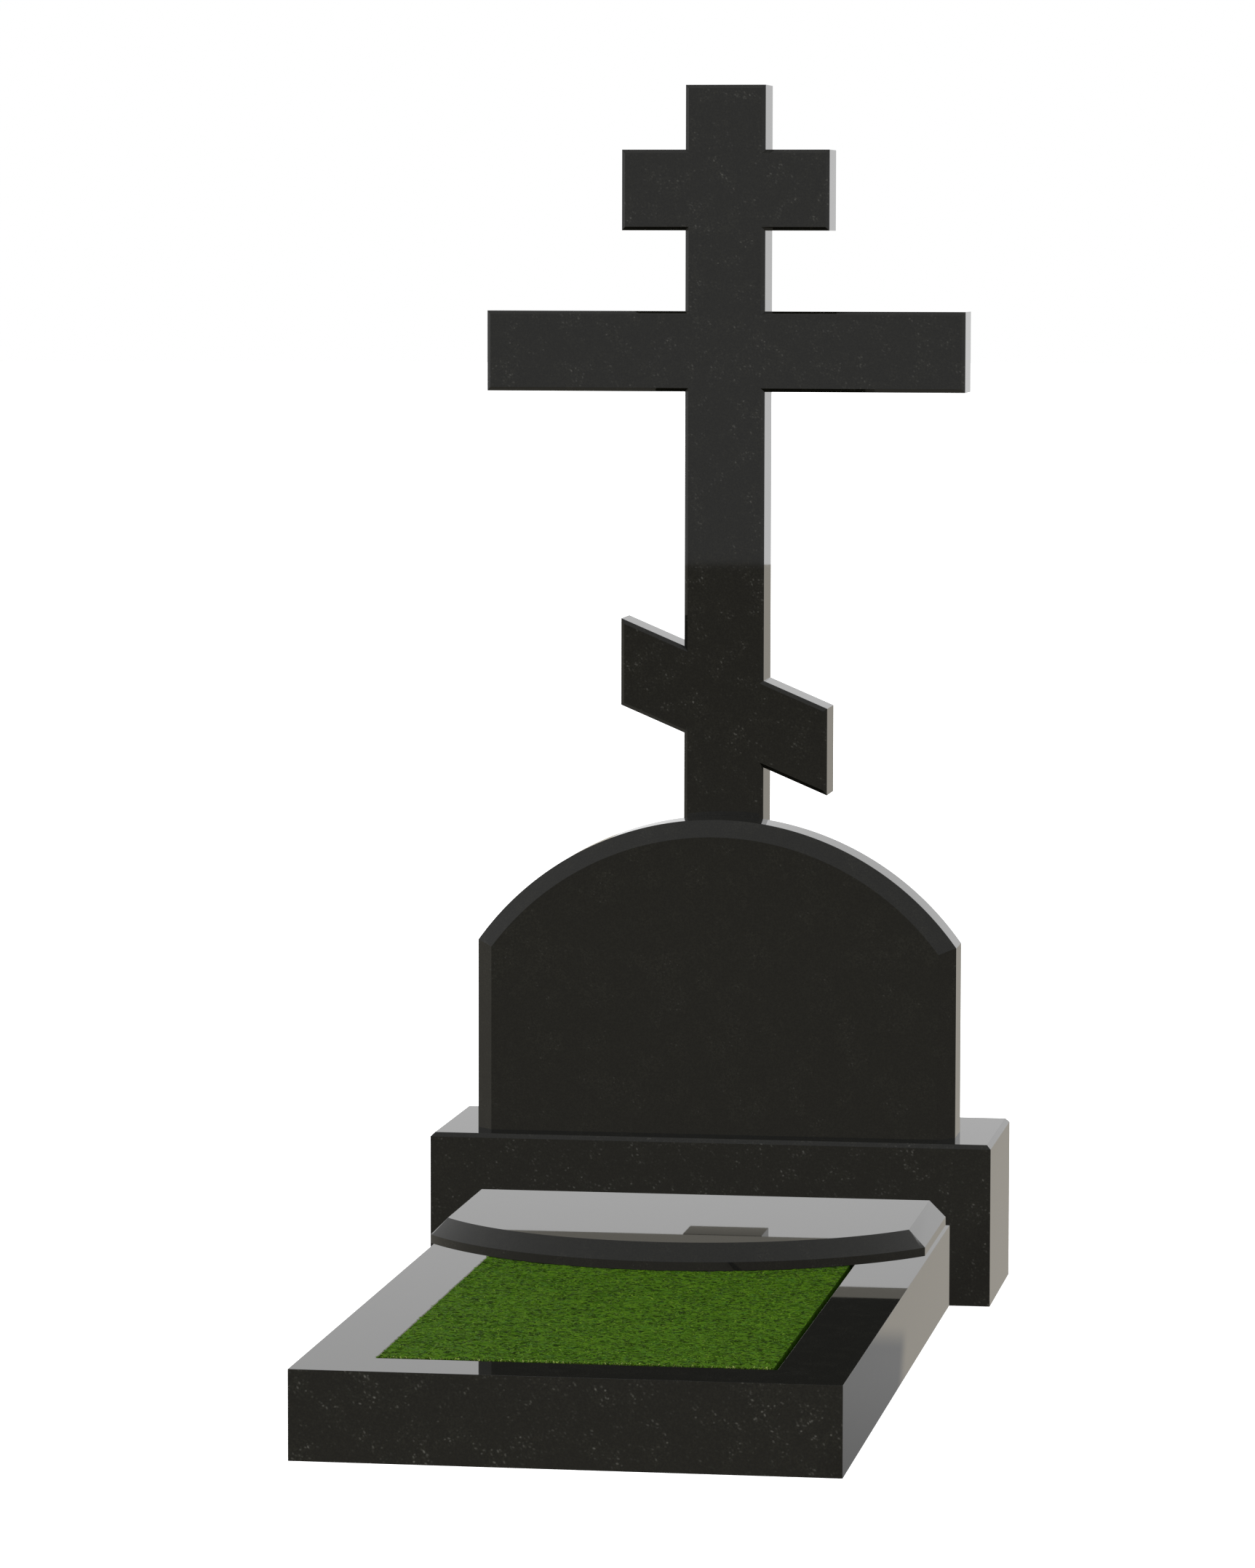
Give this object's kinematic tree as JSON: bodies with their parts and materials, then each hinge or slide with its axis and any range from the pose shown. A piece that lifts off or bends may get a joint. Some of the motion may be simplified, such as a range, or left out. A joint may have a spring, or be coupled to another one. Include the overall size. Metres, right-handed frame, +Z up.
{
  "type": "headstone",
  "caption": "Polished black granite grave memorial: arched stele, slanted-footrest cross, plinth, turfed kerb and a bowed ledger slab.",
  "frame": {"origin": "on the ground, in the middle of the plan: halfway between the plinth's two ends and halfway from the kerb's front to the plinth's back", "axes": "+Z up, +X to the viewer's right, +Y from the viewer towards the back of the memorial"},
  "size_m": [0.7, 1.35, 1.5003],
  "materials": {
    "polished_granite": "mirror-polished near-black granite with sparse fine silver-grey flecks",
    "turf": "short mown grass on soil"
  },
  "bodies": {
    "root": {"plinth": "polished_granite", "stele": "polished_granite", "cross": "polished_granite", "kerb_front": "polished_granite", "kerb_left": "polished_granite", "kerb_right": "polished_granite", "ledger": "polished_granite", "turf_bed": "turf"}
  },
  "joints": []
}
